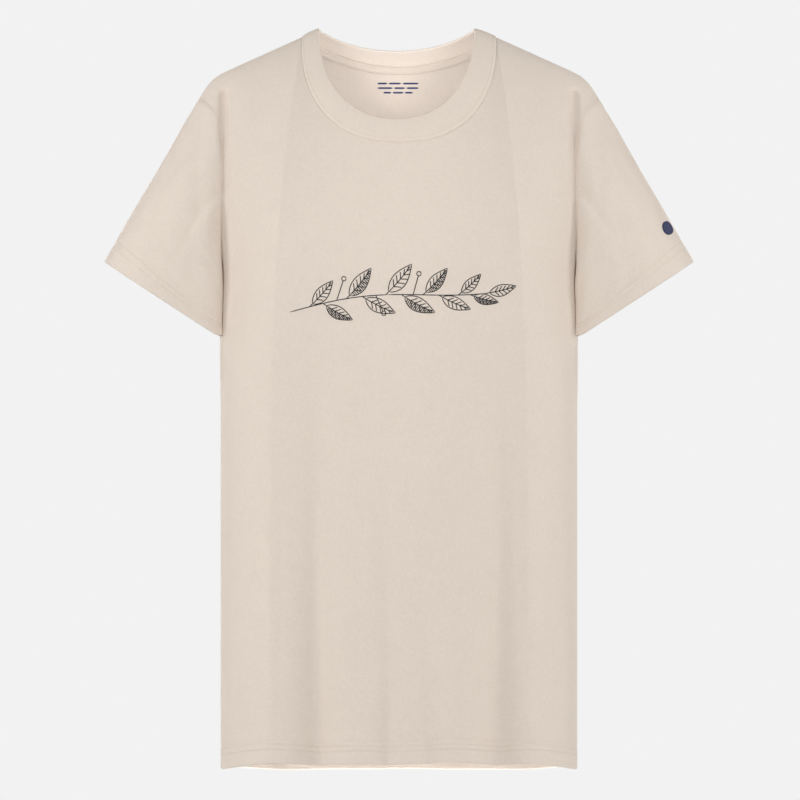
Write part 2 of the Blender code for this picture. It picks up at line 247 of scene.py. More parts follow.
def chest_creases(x, z):
    """Faint pulls: from each armhole in towards the chest, and down from the neck's sides."""
    far = np.abs(x)
    total = np.zeros(np.broadcast(x, z).shape)
    for at_x, at_z, lean, length, wide, depth in (
        (0.150, -0.098, 0.5, 0.050, 0.007, 0.0007),
        (0.158, -0.135, 0.3, 0.040, 0.008, 0.0006),
        (0.156, -0.205, -0.5, 0.045, 0.008, 0.0008),
        (0.128, -0.062, 1.3, 0.040, 0.010, 0.0008),
    ):
        run = (far - at_x) * np.cos(lean) + (z - at_z) * np.sin(lean)
        off = -(far - at_x) * np.sin(lean) + (z - at_z) * np.cos(lean)
        total = total + depth * bell(run, length) * bell(off, wide)
    return total


def front_y(x, z):
    """Depth of the front: the trunk's oval, its hanging folds, creases and a soft unevenness."""
    lower = 0.004 * np.clip((-0.30 - z) / 0.42, 0.0, 1.0)
    depth = (CHEST_DEPTH - lower) * arch(x, z) * shoulder_rounding(x, z, 0.25, 1.5)
    depth = (depth**14 + shelf(x, z) ** 14) ** (1.0 / 14.0)
    slack = smooth((-0.25 - z) / 0.35)
    uneven = (0.0004 + 0.0009 * slack) * ripples(x, z, 3, 0.060, 0.60)
    folds = hanging_folds(x, z, FRONT_FOLDS) + chest_creases(x, z) + uneven
    return SIDE_Y - depth + folds * arch(x, z) + groove(x, z) * smooth(depth / 0.02)


def back_y(x, z):
    """Depth of the back, which comes in a little at the small of the back."""
    waist = 0.014 * np.exp(-(((z + 0.48) / 0.16) ** 2)) + 0.006 * np.clip(-z - 0.5, 0.0, 0.2) / 0.2
    depth = (BACK_DEPTH - waist) * arch(x, z) * shoulder_rounding(x, z, 0.20, 2.0)
    depth = (depth**14 + shelf(x, z) ** 14) ** (1.0 / 14.0)
    slack = smooth((-0.25 - z) / 0.35)
    uneven = (0.0005 + 0.0009 * slack) * ripples(x, z, 8, 0.070, 0.55)
    folds = hanging_folds(x, z, BACK_FOLDS) + 0.8 * chest_creases(x, z) + uneven
    return SIDE_Y + depth - folds * arch(x, z) - groove(x, z) * smooth(depth / 0.02)


def armhole_xz(rise):
    """The armhole seam from the front: rise is -1 at the underarm and 1 on the shoulder line."""
    top = float(ridge(ARMHOLE_TOP_X))
    middle = 0.5 * (top + UNDERARM_Z)
    out = (ARMHOLE_TOP_X - ARMHOLE_X) * np.clip(rise, 0.0, 1.0) ** 6
    x = ARMHOLE_X - ARMHOLE_HOLLOW * (1.0 - rise**2) + out
    return x, middle + (top - middle) * rise


def neck_seam(angle):
    """The neck seam: x and z of a squared-off oval that drops more at the front than the back."""
    side, ahead = np.sin(angle), np.cos(angle)
    x = NECK_HALF_WIDTH * power(side, 0.851)
    front = ridge(NECK_HALF_WIDTH) - NECK_FRONT_DROP * np.clip(ahead, 0.0, 1.0) ** 0.851
    behind = ridge(NECK_HALF_WIDTH) - NECK_BACK_DROP * (1.0 - (x / NECK_HALF_WIDTH) ** 2)
    z = np.where(ahead > 0.0, front, behind)
    y = np.where(ahead > 0.0, front_y(x, z), back_y(x, z))
    return np.stack([x, y, z], axis=-1)


def band_edge(angle):
    """The neckband's top edge: an oval in plan, low at the front and high at the sides."""
    side, ahead = np.sin(angle), np.cos(angle)
    x = BAND_SHIFT_X + BAND_HALF_WIDTH * power(side, 0.93)
    fore = np.clip(ahead, 0.0, 1.0)
    aft = np.clip(-ahead, 0.0, 1.0)
    y = SIDE_Y + (BAND_FRONT[0] - SIDE_Y) * fore**0.7 + (BAND_BACK[0] - SIDE_Y) * aft**0.93
    z = BAND_SIDE_Z + (BAND_FRONT[1] - BAND_SIDE_Z) * fore**0.93 + (BAND_BACK[1] - BAND_SIDE_Z) * aft**2
    return np.stack([x, y, z], axis=-1)


def armhole_normal(turn):
    """The direction out of the cloth along the armhole seam, shared by trunk and sleeve."""
    return unit(np.stack([0.5 + 0.0 * turn, -np.sin(turn), 0.6 * np.cos(turn)], axis=-1))


def trunk_normal(x, z, front):
    """The trunk's outward direction, from how its depth changes just below and beside a point."""
    depth, facing = (front_y, -1.0) if front else (back_y, 1.0)
    step = 0.0003
    low = z - step
    rise = (depth(x, z) - depth(x, low)) / step
    run = (depth(x + step, low) - depth(x - step, low)) / (2.0 * step)
    return unit(np.stack([-facing * run, facing + 0.0 * x, -facing * rise], axis=-1))


def neck_normal(angle):
    """The direction out of the cloth along the neck seam: halfway between trunk and band."""
    seam = neck_seam(angle)
    step = 0.002
    along = neck_seam(angle + step) - neck_seam(angle - step)
    band = unit(np.cross(along, band_edge(angle) - seam))
    ahead = np.cos(angle)
    front = trunk_normal(seam[:, 0], seam[:, 2], True)
    behind = trunk_normal(seam[:, 0], seam[:, 2], False)
    trunk = np.where((ahead > 0.0)[:, None], front, behind)
    halfway = unit(trunk + band)
    halfway[np.abs(ahead) < 0.001, 1] = 0.0
    return unit(halfway)


def ridge_normal(x):
    """Upwards from the shoulder line, square to it."""
    step = 0.0005
    rise = (ridge(x + step) - ridge(x - step)) / (2.0 * step)
    return unit(np.stack([-rise, 0.0 * rise, 1.0 + 0.0 * rise], axis=-1))


def grid_normals(points, closed=False):
    """Unit normals of a grid of points, from the differences to its neighbours."""
    if closed:
        du = np.roll(points, -1, axis=0) - np.roll(points, 1, axis=0)
    else:
        du = np.gradient(points, axis=0)
    dv = np.gradient(points, axis=1)
    return unit(np.cross(du, dv))


def run_lengths(points, axis):
    """Length along the grid's lines in one direction, from the first point."""
    step = np.linalg.norm(np.diff(points, axis=axis), axis=-1)
    start = np.zeros_like(np.take(step, [0], axis=axis))
    return np.concatenate([start, np.cumsum(step, axis=axis)], axis=axis)


def strip_faces(first, second):
    """Quads between two equally long rows of vertex numbers."""
    return np.stack([first[:-1], first[1:], second[1:], second[:-1]], axis=-1)


def put_mesh(name, points, faces, materials, uv=None, pick=None, sharp=50.0):
    """One object at the origin from points and faces, smooth but for its sharp edges."""
    mesh = bpy.data.meshes.new(name)
    mesh.from_pydata(points.tolist(), [], faces.tolist())
    for material in materials:
        mesh.materials.append(material)
    if pick is not None:
        mesh.polygons.foreach_set("material_index", pick)
    if uv is not None:
        layer = mesh.uv_layers.new(name="cloth")
        layer.data.foreach_set("uv", uv.astype(np.float32).ravel())
    mesh.shade_smooth()
    mesh.set_sharp_from_angle(angle=np.radians(sharp))
    made = bpy.data.objects.new(name, mesh)
    bpy.context.scene.collection.objects.link(made)
    return made


def cloth_piece(name, outer, outward, thickness, material, closed=False, lip=0):
    """One closed body of cloth from a grid of points on its outer face.

    The inner face is the outer one moved inwards by the thickness, a number or one for each point.
    Strips of faces close the cut edges. lip says at which end of the columns the cloth is turned
    over: -1 the first row, 1 the last, 0 neither. There the edge is a half round, not a cut. The
    UV map holds true lengths in metres across and along the piece.
    """
    across, along = outer.shape[:2]
    inner = outer - outward * np.broadcast_to(np.asarray(thickness), (across, along))[..., None]
    if lip:
        end, nxt = (0, 1) if lip < 0 else (-1, -2)
        down = unit(outer[:, end] - outer[:, nxt])
        middle = 0.5 * (outer[:, end] + inner[:, end])
        half = 0.5 * (outer[:, end] - inner[:, end])
        radius = np.linalg.norm(half, axis=-1, keepdims=True)
        swing = np.linspace(0.0, np.pi, 7)[1:-1]
        turned = middle[:, None] + half[:, None] * np.cos(swing)[None, :, None]
        turned = turned + (down * radius)[:, None] * np.sin(swing)[None, :, None]
        if lip < 0:
            loop = [outer[:, ::-1], turned, inner]
        else:
            loop = [outer, turned, inner[:, ::-1]]
        rows = loop
    else:
        rows = [outer, inner[:, ::-1]]
    sheet = np.concatenate(rows, axis=1)
    count = sheet.shape[1]
    number = np.arange(across * count).reshape(across, count)
    width = run_lengths(outer, 0)[:, along // 2]
    if closed:
        number = np.vstack([number, number[:1]])
        last = np.linalg.norm(outer[0, along // 2] - outer[-1, along // 2])
        width = np.append(width, width[-1] + last)
    ring = np.concatenate([number, number[:, :1]], axis=1)
    quads = np.stack([ring[:-1, :-1], ring[1:, :-1], ring[1:, 1:], ring[:-1, 1:]], axis=-1)
    height = run_lengths(sheet, 1)[across // 2]
    height = np.append(height, height[-1] + 0.001)
    u, v = np.meshgrid(width, height, indexing="ij")
    both = np.stack([u, v], axis=-1)
    corner = np.stack([both[:-1, :-1], both[1:, :-1], both[1:, 1:], both[:-1, 1:]], axis=-2)
    faces, uv = quads.reshape(-1, 4), corner.reshape(-1, 4, 2)
    if not closed:
        caps = []
        half_count = count // 2
        for row, flip in ((number[0], False), (number[-1], True)):
            near, far = row[:half_count], row[::-1][:half_count]
            cap = strip_faces(near, far)
            caps.append(cap[:, ::-1] if flip else cap)
        cap_faces = np.concatenate(caps)
        faces = np.concatenate([faces, cap_faces])
        uv = np.concatenate([uv, np.zeros((len(cap_faces), 4, 2))])
    points = sheet.reshape(-1, 3)
    first = points[faces[0]]
    facing = np.cross(first[1] - first[0], first[2] - first[1])
    flip = np.dot(facing, outward[0, along - 1 if lip < 0 else 0]) < 0.0
    if flip:
        faces, uv = faces[:, ::-1], uv[:, ::-1]
    return put_mesh(name, points, faces, [material], uv)


def surface_bars(name, starts, ends, outward, width, height, material):
    """Many small rounded bars, such as stitches: each a six-sided barrel with tapered ends.

    A bar lies from its start to its end. Its section is an oval as wide as width across the bar
    and as high as height along the outward direction.
    """
    along = ends - starts
    length = np.linalg.norm(along, axis=-1, keepdims=True)
    ahead = along / length
    side = unit(np.cross(outward, ahead))
    up = np.cross(ahead, side)
    places = np.array([0.0, 0.16, 0.84, 1.0])
    sizes = np.array([0.35, 1.0, 1.0, 0.35])
    swing = np.linspace(0.0, 2.0 * np.pi, 7)[:-1]
    round_side = np.cos(swing)[None, :] * sizes[:, None] * 0.5 * width
    round_up = np.sin(swing)[None, :] * sizes[:, None] * 0.5 * height
    centre = starts[:, None, :] + along[:, None, :] * places[None, :, None]
    points = centre[:, :, None, :] + side[:, None, None, :] * round_side[None, :, :, None]
    points = points + up[:, None, None, :] * round_up[None, :, :, None]
    base = np.arange(24).reshape(4, 6)
    base = np.concatenate([base, base[:, :1]], axis=1)
    shell = np.stack([base[:-1, :-1], base[:-1, 1:], base[1:, 1:], base[1:, :-1]], axis=-1)
    ends_faces = np.array([[0, 3, 2, 1], [0, 5, 4, 3], [18, 19, 20, 21], [18, 21, 22, 23]])
    one = np.concatenate([shell.reshape(-1, 4), ends_faces])
    faces = one[None] + 24 * np.arange(len(starts))[:, None, None]
    first = points[0].reshape(-1, 3)[one[0]]
    facing = np.cross(first[1] - first[0], first[2] - first[1])
    if np.dot(facing, first.mean(axis=0) - centre[0].mean(axis=0)) < 0.0:
        faces = faces[..., ::-1]
    return put_mesh(name, points.reshape(-1, 3), faces.reshape(-1, 4), [material], sharp=80.0)


def spaced(points, outward, pitch, length, closed=True):
    """Starts, ends and directions of stitches laid evenly along a line of points."""
    if closed:
        points = np.vstack([points, points[:1]])
        outward = np.vstack([outward, outward[:1]])
    run = np.append(0.0, np.cumsum(np.linalg.norm(np.diff(points, axis=0), axis=-1)))
    count = int(run[-1] / pitch)
    at = (np.arange(count) + 0.5) * run[-1] / count

    def on_line(values, where):
        return np.stack([np.interp(where, run, values[:, k]) for k in range(3)], axis=-1)

    half = 0.5 * length
    return on_line(points, at - half), on_line(points, at + half), unit(on_line(outward, at))


# Materials


def node(tree, kind, **values):
    """A shader node with its settings and socket values."""
    made = tree.nodes.new(kind)
    for key, value in values.items():
        if key in made.inputs:
            made.inputs[key].default_value = value
        else:
            setattr(made, key, value)
    return made


def math(tree, operation, first, second=None):
    """A Math node on sockets or numbers."""
    made = tree.nodes.new("ShaderNodeMath")
    made.operation = operation
    for place, value in enumerate((first, second)):
        if value is None:
            continue
        if isinstance(value, (int, float)):
            made.inputs[place].default_value = value
        else:
            tree.links.new(value, made.inputs[place])
    return made.outputs[0]


def knit(name, colour, wale, course, relief, ribbed=False):
    """Knitted cotton: columns of small V-shaped stitches in the cloth's own UV, and slight mottling.

    Across, each column is a rounded hill. Along, the stitches repeat and lean down towards the
    column's middle. A rib has higher and wider hills. The colour varies by a few hundredths in
    patches, and a little from stitch to stitch.
    """
    made = bpy.data.materials.new(name)
    made.use_nodes = True
    tree = made.node_tree
    shader = tree.nodes["Principled BSDF"]
    shader.inputs["Roughness"].default_value = 0.95
    shader.inputs["Specular IOR Level"].default_value = 0.12
    shader.inputs["Sheen Weight"].default_value = 0.02
    shader.inputs["Sheen Roughness"].default_value = 0.6
    place = node(tree, "ShaderNodeUVMap", uv_map="cloth")
    split = tree.nodes.new("ShaderNodeSeparateXYZ")
    tree.links.new(place.outputs[0], split.inputs[0])
    u = math(tree, "MULTIPLY", split.outputs[0], 1.0 / wale)
    v = math(tree, "MULTIPLY", split.outputs[1], 1.0 / course)
    saw = math(tree, "PINGPONG", u, 0.5)
    hill = math(tree, "SINE", math(tree, "MULTIPLY", u, np.pi * 2.0))
    lean = math(tree, "ADD", v, math(tree, "MULTIPLY", saw, 1.1))
    stitch = math(tree, "SINE", math(tree, "MULTIPLY", lean, np.pi * 2.0))
    share = 0.25 if ribbed else 0.55
    height = math(tree, "ADD", hill, math(tree, "MULTIPLY", stitch, share))
    bump = node(tree, "ShaderNodeBump", Strength=0.5, Distance=relief)
    tree.links.new(height, bump.inputs["Height"])
    tree.links.new(bump.outputs[0], shader.inputs["Normal"])
    spot = tree.nodes.new("ShaderNodeTexCoord")
    patches = node(tree, "ShaderNodeTexNoise", Scale=60.0, Detail=4.0, Roughness=0.6)
    grain = node(tree, "ShaderNodeTexNoise", Scale=380.0, Detail=1.0, Roughness=0.5)
    tree.links.new(spot.outputs["Object"], patches.inputs["Vector"])
    tree.links.new(spot.outputs["Object"], grain.inputs["Vector"])
    coarse = math(tree, "MULTIPLY", patches.outputs[0], 0.35)
    fine = math(tree, "MULTIPLY", grain.outputs[0], 0.65)
    both = math(tree, "ADD", coarse, fine)
    ramp = tree.nodes.new("ShaderNodeValToRGB")
    dark, light = ramp.color_ramp.elements
    dark.position, light.position = 0.3, 0.7
    dark.color = tuple(0.972 * c for c in colour) + (1.0,)
    light.color = tuple(min(1.0, 1.028 * c) for c in colour) + (1.0,)
    tree.links.new(both, ramp.inputs[0])
    tree.links.new(ramp.outputs[0], shader.inputs["Base Color"])
    return made


def thread(name, colour):
    """Polyester sewing thread: a slight sheen and a fine twist along its length."""
    made = bpy.data.materials.new(name)
    made.use_nodes = True
    tree = made.node_tree
    shader = tree.nodes["Principled BSDF"]
    shader.inputs["Base Color"].default_value = colour + (1.0,)
    shader.inputs["Roughness"].default_value = 0.7
    spot = tree.nodes.new("ShaderNodeTexCoord")
    twist = node(tree, "ShaderNodeTexNoise", Scale=2600.0, Detail=1.0)
    tree.links.new(spot.outputs["Object"], twist.inputs["Vector"])
    bump = node(tree, "ShaderNodeBump", Strength=0.3, Distance=0.0001)
    tree.links.new(twist.outputs[0], bump.inputs["Height"])
    tree.links.new(bump.outputs[0], shader.inputs["Normal"])
    return made


SAND = (0.735, 0.645, 0.565)
jersey = knit("sand jersey", SAND, 0.0009, 0.0007, 0.00012)
rib = knit("sand rib", (0.74, 0.65, 0.568), 0.0013, 0.0008, 0.00008, ribbed=True)
sand_thread = thread("sand thread", (0.66, 0.575, 0.50))


# Trunk


def panel_grid(front, side_rows, armhole_rows):
    """The front or back as a grid: columns from side to side, rows from the hem up.

    The edge column runs up the side seam and then round the armhole. The top row follows the
    shoulder line in to the neck, and the neck seam between. The depth comes from the trunk's
    formula. Along its seams the panel takes the seam's own direction out of the cloth.
    """
    low = HEM_Z + np.linspace(0.0, 0.026, 21)
    side_z = np.concatenate([low, np.linspace(low[-1], UNDERARM_Z, side_rows)[1:]])
    swing = np.linspace(0.0, np.pi, armhole_rows + 1)[1:]
    hole_x, hole_z = armhole_xz(-np.cos(swing))
    edge_z = np.concatenate([side_z, hole_z])
    seam_rows = len(side_z)
    edge_x = np.concatenate([trunk_half_width(side_z), hole_x])
    up = (edge_z - HEM_Z) / (edge_z[-1] - HEM_Z)

    across = np.linspace(-1.0, 1.0, COLUMNS + 1)
    inner = np.abs(across) <= NECK_SHARE
    turn = np.clip(across / NECK_SHARE, -1.0, 1.0) * 0.5 * np.pi
    angle = turn if front else np.pi - turn
    seam = neck_seam(angle)
    out = np.clip((np.abs(across) - NECK_SHARE) / (1.0 - NECK_SHARE), 0.0, 1.0)
    shoulder_x = np.sign(across) * (NECK_HALF_WIDTH + (ARMHOLE_TOP_X - NECK_HALF_WIDTH) * out)
    top_x = np.where(inner, seam[:, 0], shoulder_x)
    top_z = np.where(inner, seam[:, 2], ridge(shoulder_x))

    share = up[None, :]
    foot_x = BODY_HALF_WIDTH * np.sin(across * 0.5 * np.pi)
    x = foot_x[:, None] + (top_x - foot_x)[:, None] * share**4
    pull = edge_x[None, :] - x[-1:]
    x = x + power(across, 4.0)[:, None] * pull
    middle = 1.0 - (np.abs(foot_x) / BODY_HALF_WIDTH) ** 6
    foot_z = HEM_Z + middle * (HEM_FRONT_RISE if front else -HEM_BACK_DROP)
    if front:
        foot_z = foot_z - 0.17 * middle * hanging_folds(foot_x, HEM_Z, FRONT_FOLDS)
        foot_z = foot_z + 0.0022 * middle * bell(foot_x - 0.052, 0.034) + 0.0012 * middle
    z = foot_z[:, None] + (top_z - foot_z)[:, None] * share
    y = front_y(x, z) if front else back_y(x, z)
    y[0, :seam_rows] = SIDE_Y
    y[-1, :seam_rows] = SIDE_Y
    points = np.stack([x, y, z], axis=-1)

    facing = -1.0 if front else 1.0
    outward = trunk_normal(x, z, front)
    outward[0, :seam_rows] = (-1.0, 0.0, 0.0)
    outward[-1, :seam_rows] = (1.0, 0.0, 0.0)
    round_hole = armhole_normal((np.pi - swing) * -facing)
    outward[-1, seam_rows:] = round_hole
    outward[0, seam_rows:] = round_hole * MIRROR
    outward[~inner, -1] = ridge_normal(shoulder_x)[~inner]
    outward[inner, -1] = neck_normal(angle)[inner]
    return points, outward


def hem_relief(above, along):
    """Inward dents of the hem: two stitch rows, and slight slanting puckers between them."""
    rows = 0.00035 * (bell(above - 0.0115, 0.0009) + bell(above - 0.0168, 0.0009))
    inside = smooth(above / 0.004) * smooth((0.021 - above) / 0.004)
    pucker = np.sin(2.0 * np.pi * (along / 0.0085 + above / 0.03)) * (0.6 + 0.4 * np.sin(along * 61.0))
    edge = 0.0004 * bell(above - 0.021, 0.0015)
    return rows + 0.00022 * inside * pucker + edge


def make_panel(name, front, nodes):
    """A panel with its turned-up hem, dented along its stitches and seams."""
    points, outward = panel_grid(front, 118, RING // 2)
    above = run_lengths(points, 1)
    along = run_lengths(points, 0)
    to_side = np.minimum(along, along[-1:] - along)
    to_top = above[:, -1:] - above
    dent = hem_relief(above, along)
    dent = dent + 0.0003 * bell(to_side, 0.0015) + 0.0005 * bell(to_top, 0.0014)
    shown = points - outward * dent[..., None]
    thickness = JERSEY + (HEM_PLY - JERSEY) * smooth((HEM_FOLD - above) / 0.0015)
    piece = cloth_piece(name, shown, outward, thickness, jersey, lip=-1)
    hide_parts(*nodes)
    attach(piece, "root")
    rows = []
    for height in (0.0115, 0.0168):
        row = np.argmin(np.abs(above[COLUMNS // 2] - height))
        rows.append(spaced(shown[:, row], outward[:, row], 0.0031, 0.0024, closed=False))
    return piece, shown, outward, [np.concatenate(part) for part in zip(*rows)]


# Sleeves


side_reach = np.linspace(0.1600, 0.1775, 400)
side_level = np.full(400, -0.27)
side_depth = (SIDE_Y - front_y(side_reach, side_level))[::-1]
side_reach = side_reach[::-1]


def trunk_side(ahead):
    """How far out the trunk reaches below the armhole, at a distance in front of its side."""
    return np.interp(np.abs(ahead), side_depth, side_reach)


def sleeve_point(turn, down):
    """A point on the wearer's left sleeve, from the armhole (down 0) to the hem (down 1).

    turn goes round from the top (0) over the front (a quarter) to the underarm (a half). The hem's
    ring is half an oval above. Below, it runs straight in to a rounded corner beside the trunk,
    tucks back a little there, and then lies against the trunk's side. Each
    line down the sleeve is a cubic from seam to hem. At the top and the underarm it is nearly
    straight. At the front and the back it swells, and then it hangs steeper at the hem.
    """
    rise, ahead = np.cos(turn), np.sin(turn)
    seam_x, seam_z = armhole_xz(rise)
    seam_y = np.where(ahead > 0.0, front_y(seam_x, seam_z), back_y(seam_x, seam_z))
    start = np.stack([seam_x, seam_y, seam_z], axis=-1)

    outer, inner = np.array(CUFF_OUTER), np.array(CUFF_INNER)
    middle, half = 0.5 * (outer + inner), 0.5 * (outer - inner)
    room = smooth(np.asarray(down) / 0.02)[..., None]
    lower = np.clip(np.arctan2(np.abs(ahead), rise) / (0.5 * np.pi) - 1.0, 0.0, 1.0)
    off_above = CUFF_HALF_DEPTH * np.abs(ahead) ** 0.9
    off = np.where(rise > 0.0, off_above, rounded(lower, CUFF_LOWER, CUFF_LOWER_OFF))
    off = off * smooth(np.abs(ahead) / 0.01)
    below = (rounded(lower, CUFF_LOWER, CUFF_LOWER_X) - middle[0]) / half[0]
    along = np.where(rise > 0.0, power(rise, 0.9), below)
    level = np.where(rise > 0.0, along, -least(-along, 0.99))
    cuff_y = SIDE_Y - np.sign(ahead) * off
    cuff = np.stack([middle[0] + half[0] * along, cuff_y, middle[1] + half[1] * level], axis=-1)

    under = np.clip(-rise, 0.0, 1.0) ** 2
    start = start + room * under[..., None] * np.array(UNDERARM_ROOM)
    chord = cuff - start
    reach = np.linalg.norm(chord, axis=-1, keepdims=True)
    side = (ahead**2)[..., None] * reach
    swell = np.stack([0.30 + 0.0 * ahead, -0.30 * ahead, 0.30 + 0.0 * ahead], axis=-1)
    leave = chord + swell * side + np.array([0.10, 0.0, 0.0]) * under[..., None] * reach
    press = bell(lower - PRESS[2], PRESS[3]) * smooth(lower / 0.2) * smooth((1.0 - lower) / 0.2)
    inward = np.stack([PRESS[0] + 0.0 * ahead, PRESS[1] * np.sign(ahead), 0.0 * ahead], axis=-1)
    leave = leave + inward * press[..., None]
    arrive = chord + np.array([-0.14, 0.0, -0.06]) * side

    t = np.asarray(down)[..., None]
    cubic = (2.0 * t**3 - 3.0 * t**2 + 1.0) * start + (t**3 - 2.0 * t**2 + t) * leave
    place = cubic + (3.0 * t**2 - 2.0 * t**3) * cuff + (t**3 - t**2) * arrive
    hug = trunk_side(place[..., 1] - SIDE_Y) + HUG_ROOM
    clear = hug + 0.0003 * np.logaddexp(0.0, (place[..., 0] - hug) / 0.0003)
    taken = smooth(np.asarray(down) / 0.10) * smooth(lower / 0.1)
    place[..., 0] = place[..., 0] + (clear - place[..., 0]) * taken
    return place


def sleeve_wrinkles(turn, down, seed):
    """Faint slanting pulls at the sleeve head, and a soft unevenness further down."""
    total = 0.0007 * ripples(turn * 0.06, down * 0.15, seed, 0.050, 0.09)
    for at_turn, at_down, lean, length, wide, depth in (
        (0.75, 0.16, 0.9, 0.9, 0.10, 0.0010),
        (1.25, 0.20, 0.8, 0.8, 0.12, 0.0008),
        (1.95, 0.42, -0.7, 0.7, 0.14, 0.0009),
        (-0.80, 0.18, -0.9, 0.9, 0.11, 0.0009),
        (-1.50, 0.30, -0.7, 0.8, 0.13, 0.0009),
    ):
        round_by = np.angle(np.exp(1j * (turn - at_turn)))
        off = (down - at_down) - lean * 0.18 * round_by
        total = total + depth * bell(round_by, length * 0.7) * bell(off, wide * 0.5)
    return total * smooth(down / 0.06)


def make_sleeve(name, side, seed, nodes):
    """A sleeve with its turned-up hem, dented along its stitches and its armhole seam."""
    turns = np.linspace(0.0, 2.0 * np.pi, RING + 1)[:-1]
    downs = np.linspace(0.0, 1.0, SLEEVE_ROWS) ** 1.25
    turn, down = np.meshgrid(turns, downs, indexing="ij")
    points = sleeve_point(turn, down)
    outward = grid_normals(points, closed=True)
    outward[:, 0] = armhole_normal(turns)
    if np.dot(outward[RING // 4, 5], (0.0, -1.0, 0.0)) < 0.0:
        outward[:, 1:] = -outward[:, 1:]
    from_seam = run_lengths(points, 1)
    above = from_seam[:, -1:] - from_seam
    along = run_lengths(points, 0)
    seam_depth = np.abs(points[:, :1, 1] - SIDE_Y)
    sunk = groove(points[:, :1, 0], points[:, :1, 2]) * smooth(seam_depth / 0.02)
    bank = sunk * (np.exp(-((from_seam / 0.0030) ** 1.5)) - 1.0) * (1.0 - smooth(down))
    dent = hem_relief(above, along) + sleeve_wrinkles(turn, down, seed)
    dent = dent + 0.0003 * bell(from_seam, 0.0014) + bank
    shown = points - outward * dent[..., None]
    thickness = JERSEY + (HEM_PLY - JERSEY) * smooth((CUFF_FOLD - above) / 0.0015)
    mirror = np.array([side, 1.0, 1.0])
    piece = cloth_piece(name, shown * mirror, outward * mirror, thickness, jersey, closed=True, lip=1)
    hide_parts(*nodes)
    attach(piece, "root")
    rows = []
    for height in (0.0105, 0.0165):
        row = np.argmin(np.abs(above[RING // 4] - height))
        rows.append(spaced(shown[:, row] * mirror, outward[:, row] * mirror, 0.0031, 0.0024))
    return piece, [np.concatenate(part) for part in zip(*rows)]


front_piece, front_shown, front_outward, front_stitches = make_panel(
    "front", True, ("front_panel", "front_hem_fold")
)
back_piece, back_shown, back_outward, back_stitches = make_panel(
    "back", False, ("back_panel", "back_hem_fold")
)
left_piece, left_stitches = make_sleeve(
    "sleeve_left", 1.0, 31, ("left_sleeve", "left_sleeve_hem_fold")
)
right_piece, right_stitches = make_sleeve(
    "sleeve_right", -1.0, 47, ("right_sleeve", "right_sleeve_hem_fold")
)


# Neck


def make_neckband():
    """The neckband: a folded rib, whose closed section is carried round the neck.

    The section runs up the outer face from the seam, over a rounded fold, and down the inner
    face. The outer face swells slightly between the seam and the fold.
    """
    angles = np.linspace(0.0, 2.0 * np.pi, 481)[:-1]
    seam, edge = neck_seam(angles), band_edge(angles)
    ways = np.append(np.linspace(0.0, 0.9, 15), [0.95])
    outer = seam[:, None] * (1.0 - ways[:, None]) + edge[:, None] * ways[:, None]
    outward = grid_normals(outer, closed=True)
    if np.dot(outward[0, 5], (0.0, -1.0, 0.0)) < 0.0:
        outward = -outward
    outward[:, 0] = neck_normal(angles)
    swell = 0.0007 * smooth(ways / 0.06) + 0.0006 * np.sin(np.pi * ways)
    swell = swell - 0.0003 * bell(ways - 0.15, 0.035)
    shown = outer + outward * swell[None, :, None]
    piece = cloth_piece("neck_rib", shown, outward, RIB_PLY, rib, closed=True, lip=1)
    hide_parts("neckband")
    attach(piece, "root")
    return piece, angles, shown, outward


def make_tape(angles):
    """The tape over the seam inside the back of the neck, with a stitch row along each edge."""
    behind = angles[(angles > 0.52 * np.pi) & (angles < 1.48 * np.pi)]
    seam, edge = neck_seam(behind), band_edge(behind)
    width = np.linalg.norm(edge - seam, axis=-1)[:, None, None]
    across = np.linspace(-0.0035, 0.0045, 9)
    ways = across[None, :, None] / width
    strip = seam[:, None] * (1.0 - ways) + edge[:, None] * ways
    outward = grid_normals(strip)
    if np.dot(outward[len(behind) // 2, 4], (0.0, 1.0, 0.0)) < 0.0:
        outward = -outward
    inside = strip - outward * (RIB_PLY + 0.0001)
    piece = cloth_piece("neck_seam_tape", inside, outward, 0.0008, jersey)
    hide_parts("neck_tape")
    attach(piece, "root")
    face = inside - outward * 0.0008
    rows = []
    for column in (2, 6):
        rows.append(spaced(face[:, column], -outward[:, column], 0.0028, 0.0022, closed=False))
    return piece, [np.concatenate(part) for part in zip(*rows)]


neck_piece, neck_angles, neck_shown, neck_outward = make_neckband()
tape_piece, tape_stitches = make_tape(neck_angles)


def make_stitches(name, parts, width=0.0006, height=0.0005):
    """One piece for all the stitches of a seam."""
    piece = surface_bars(name, *parts, width, height, sand_thread)
    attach(piece, "root")
    return piece


band_row = spaced(neck_shown[:, 2], neck_outward[:, 2], 0.0029, 0.0023)
stitch_pieces = [
    make_stitches("front_hem_stitches", front_stitches),
    make_stitches("back_hem_stitches", back_stitches),
    make_stitches("left_sleeve_stitches", left_stitches),
    make_stitches("right_sleeve_stitches", right_stitches),
    make_stitches("neck_seam_stitches", band_row),
    make_stitches("neck_tape_stitches", tape_stitches),
]


# Patch and prints


